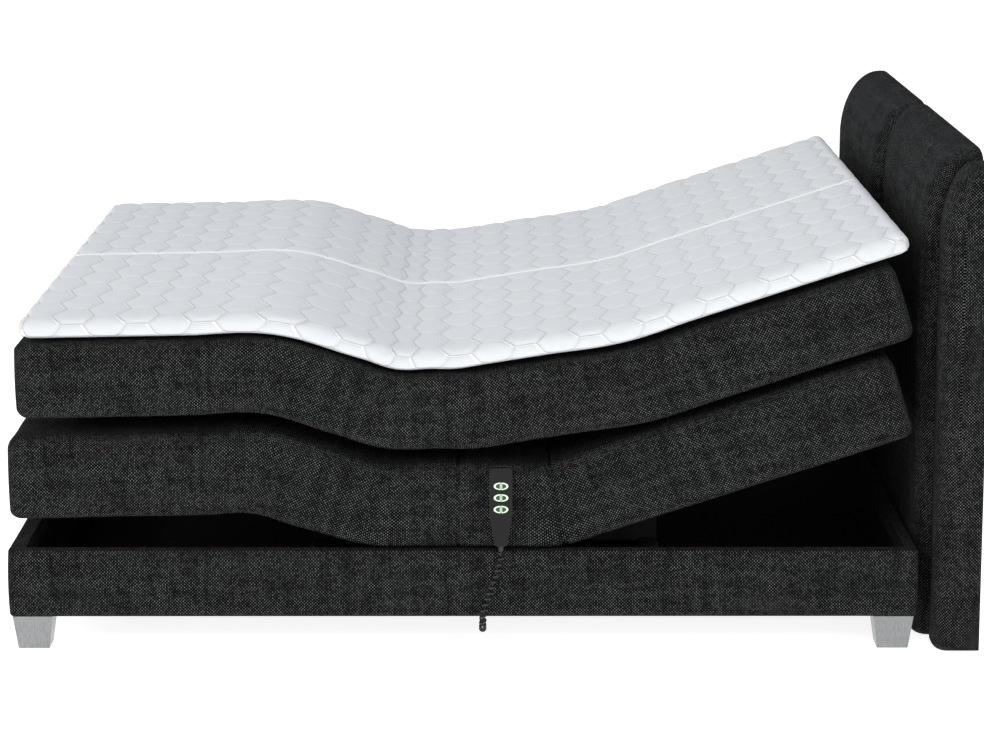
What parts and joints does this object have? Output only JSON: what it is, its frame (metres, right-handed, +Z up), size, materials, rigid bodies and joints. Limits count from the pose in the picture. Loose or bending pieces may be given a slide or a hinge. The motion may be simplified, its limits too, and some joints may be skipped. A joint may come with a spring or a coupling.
{
  "type": "adjustable boxspring bed",
  "caption": "Electrically adjustable boxspring bed: plinth on legs, hinged upholstered base, mattress, topper, panelled headboard and corded handset.",
  "frame": {"origin": "middle of the whole bed's footprint, on the floor", "axes": "+X towards the head, +Z up, -Y towards the side with the handset"},
  "size_m": [2.132, 1.86, 1.1],
  "materials": {
    "charcoal_fabric": "coarse basket weave, black and grey yarns",
    "white_quilt": "soft knitted quilt",
    "plywood": "raw sanded birch plywood",
    "dark_board": "black-stained hardboard",
    "satin_metal": "satin",
    "black_steel": "black powder coat",
    "dark_plastic": "fine texture",
    "grey_plastic": "fine texture",
    "roller_plastic": "natural nylon",
    "key_plastic": "translucent, lit",
    "cord_rubber": "smooth"
  },
  "bodies": {
    "root": {"plinth_board_right": "dark_board", "plinth_board_left": "dark_board", "plinth_board_foot": "dark_board", "plinth_board_head": "dark_board", "plinth_upholstery": "charcoal_fabric", "plinth_floor": "dark_board", "leg_foot_right": "satin_metal", "leg_foot_left": "satin_metal", "leg_head_right": "satin_metal", "leg_head_left": "satin_metal", "centre_leg": "black_steel", "chassis_frame": "black_steel", "drive_housing": "dark_plastic", "control_box": "dark_plastic", "headboard_board": "plywood", "headboard_pad_right": "charcoal_fabric", "headboard_pad_centre": "charcoal_fabric", "headboard_pad_left": "charcoal_fabric", "headboard_bracket_right": "black_steel", "headboard_bracket_left": "black_steel", "seat_frame": "plywood", "seat_upholstery": "charcoal_fabric", "back_hinge_rod": "satin_metal", "thigh_hinge_rod": "satin_metal", "handset_hook": "grey_plastic", "cord_curl": "cord_rubber"},
    "back": {"back_frame": "plywood", "back_upholstery": "charcoal_fabric"},
    "thigh": {"thigh_frame": "plywood", "thigh_upholstery": "charcoal_fabric", "knee_hinge_rod": "satin_metal"},
    "calf": {"calf_frame": "plywood", "calf_upholstery": "charcoal_fabric"},
    "bed_seat": {"mattress_seat": "charcoal_fabric", "topper_seat": "white_quilt"},
    "mattress_lumbar_part": {"mattress_lumbar": "charcoal_fabric"},
    "mattress_back_part": {"mattress_back": "charcoal_fabric"},
    "bed_thigh": {"mattress_thigh": "charcoal_fabric", "topper_thigh": "white_quilt"},
    "bed_calf": {"mattress_calf": "charcoal_fabric", "topper_calf": "white_quilt"},
    "topper_lumbar_part": {"topper_lumbar": "white_quilt"},
    "topper_back_part": {"topper_back": "white_quilt"},
    "back_lift": {"back_torque_tube": "black_steel"},
    "leg_lift": {"leg_torque_tube": "black_steel"},
    "back_drive_slider": {"back_slider": "roller_plastic"},
    "leg_drive_slider": {"leg_slider": "roller_plastic"},
    "handset": {"handset_front": "dark_plastic", "handset_back": "grey_plastic", "handset_gland": "cord_rubber"},
    "back_roller_right_wheel": {"back_roller_right": "roller_plastic"},
    "back_roller_left_wheel": {"back_roller_left": "roller_plastic"},
    "leg_roller_right_wheel": {"leg_roller_right": "roller_plastic"},
    "leg_roller_left_wheel": {"leg_roller_left": "roller_plastic"},
    "key_1_left_cap": {"key_1_left": "key_plastic"},
    "key_1_right_cap": {"key_1_right": "key_plastic"},
    "key_2_left_cap": {"key_2_left": "key_plastic"},
    "key_2_right_cap": {"key_2_right": "key_plastic"},
    "key_3_left_cap": {"key_3_left": "key_plastic"},
    "key_3_right_cap": {"key_3_right": "key_plastic"}
  },
  "joints": [
    {"name": "back_hinge", "type": "hinge", "parent": "root", "child": "back", "pos_m": [0.121, 0, 0.385], "axis": [0, -1, 0], "range_deg": [-18, 22]},
    {"name": "thigh_hinge", "type": "hinge", "parent": "root", "child": "thigh", "pos_m": [-0.25, 0, 0.385], "axis": [0, 1, 0], "range_deg": [-16, 14]},
    {"name": "knee_hinge", "type": "hinge", "parent": "thigh", "child": "calf", "pos_m": [-0.51647, 0, 0.39899], "axis": [0, -1, 0], "range_deg": [-17.01, 14.9]},
    {"name": "bed_seat_lift", "type": "slide", "parent": "root", "child": "bed_seat", "axis": [0, 0, 1], "range_m": [-0.0299, 0.0366]},
    {"name": "mattress_lumbar_bend", "type": "hinge", "parent": "bed_seat", "child": "mattress_lumbar_part", "pos_m": [-0.04, 0, 0.54585], "axis": [0, -1, 0], "range_deg": [-9.01, 11.01]},
    {"name": "mattress_back_bend", "type": "hinge", "parent": "mattress_lumbar_part", "child": "mattress_back_part", "pos_m": [0.31557, 0, 0.60216], "axis": [0, -1, 0], "range_deg": [-9.01, 11.01]},
    {"name": "topper_lumbar_bend", "type": "hinge", "parent": "bed_seat", "child": "topper_lumbar_part", "pos_m": [-0.085, 0, 0.67185], "axis": [0, -1, 0], "range_deg": [-9.01, 11.01]},
    {"name": "topper_back_bend", "type": "hinge", "parent": "topper_lumbar_part", "child": "topper_back_part", "pos_m": [0.27057, 0, 0.72816], "axis": [0, -1, 0], "range_deg": [-9.01, 11.01]},
    {"name": "bed_thigh_bend", "type": "hinge", "parent": "bed_seat", "child": "bed_thigh", "pos_m": [-0.23, 0, 0.48585], "axis": [0, 1, 0], "range_deg": [-16.01, 14.01]},
    {"name": "bed_knee_bend", "type": "hinge", "parent": "bed_thigh", "child": "bed_calf", "pos_m": [-0.4964, 0, 0.57264], "axis": [0, -1, 0], "range_deg": [-17.01, 14.9]},
    {"name": "back_tube_turn", "type": "hinge", "parent": "root", "child": "back_lift", "pos_m": [0.271, 0, 0.15], "axis": [0, -1, 0], "range_deg": [-22.51, 27.51]},
    {"name": "leg_tube_turn", "type": "hinge", "parent": "root", "child": "leg_lift", "pos_m": [-0.31, 0, 0.15], "axis": [0, 1, 0], "range_deg": [-15.61, 13.66]},
    {"name": "back_slider_travel", "type": "slide", "parent": "root", "child": "back_drive_slider", "axis": [1, 0, 0], "range_m": [-0.0118, 0.01445]},
    {"name": "leg_slider_travel", "type": "slide", "parent": "root", "child": "leg_drive_slider", "axis": [-1, 0, 0], "range_m": [-0.0082, 0.00716]},
    {"name": "back_roller_right_spin", "type": "hinge", "parent": "back_lift", "child": "back_roller_right_wheel", "pos_m": [0.45666, 0, 0.26803], "axis": [0, 1, 0], "continuous": true},
    {"name": "back_roller_left_spin", "type": "hinge", "parent": "back_lift", "child": "back_roller_left_wheel", "pos_m": [0.45666, 0, 0.26803], "axis": [0, 1, 0], "continuous": true},
    {"name": "leg_roller_right_spin", "type": "hinge", "parent": "leg_lift", "child": "leg_roller_right_wheel", "pos_m": [-0.42956, 0, 0.22284], "axis": [0, 1, 0], "continuous": true},
    {"name": "leg_roller_left_spin", "type": "hinge", "parent": "leg_lift", "child": "leg_roller_left_wheel", "pos_m": [-0.42956, 0, 0.22284], "axis": [0, 1, 0], "continuous": true},
    {"name": "handset_lift_off", "type": "slide", "parent": "root", "child": "handset", "axis": [0, 0, 1], "range_m": [0, 0.12]},
    {"name": "key_1_left_press", "type": "slide", "parent": "handset", "child": "key_1_left_cap", "axis": [0, 1, 0], "range_m": [0, 0.0012], "stiffness_N_per_m": 400},
    {"name": "key_1_right_press", "type": "slide", "parent": "handset", "child": "key_1_right_cap", "axis": [0, 1, 0], "range_m": [0, 0.0012], "stiffness_N_per_m": 400},
    {"name": "key_2_left_press", "type": "slide", "parent": "handset", "child": "key_2_left_cap", "axis": [0, 1, 0], "range_m": [0, 0.0012], "stiffness_N_per_m": 400},
    {"name": "key_2_right_press", "type": "slide", "parent": "handset", "child": "key_2_right_cap", "axis": [0, 1, 0], "range_m": [0, 0.0012], "stiffness_N_per_m": 400},
    {"name": "key_3_left_press", "type": "slide", "parent": "handset", "child": "key_3_left_cap", "axis": [0, 1, 0], "range_m": [0, 0.0012], "stiffness_N_per_m": 400},
    {"name": "key_3_right_press", "type": "slide", "parent": "handset", "child": "key_3_right_cap", "axis": [0, 1, 0], "range_m": [0, 0.0012], "stiffness_N_per_m": 400}
  ],
  "couplings": [
    {"joint": "knee_hinge", "follows": "thigh_hinge", "ratio": 1.0625},
    {"joint": "bed_seat_lift", "follows": "back_hinge", "m_per_rad": 0.095},
    {"joint": "mattress_lumbar_bend", "follows": "back_hinge", "ratio": 0.5},
    {"joint": "mattress_back_bend", "follows": "back_hinge", "ratio": 0.5},
    {"joint": "topper_lumbar_bend", "follows": "back_hinge", "ratio": 0.5},
    {"joint": "topper_back_bend", "follows": "back_hinge", "ratio": 0.5},
    {"joint": "bed_thigh_bend", "follows": "thigh_hinge", "ratio": 1},
    {"joint": "bed_knee_bend", "follows": "thigh_hinge", "ratio": 1.0625},
    {"joint": "back_tube_turn", "follows": "back_hinge", "ratio": 1.25},
    {"joint": "leg_tube_turn", "follows": "thigh_hinge", "ratio": 0.975},
    {"joint": "back_slider_travel", "follows": "back_hinge", "m_per_rad": 0.0375},
    {"joint": "leg_slider_travel", "follows": "thigh_hinge", "m_per_rad": 0.02925}
  ]
}
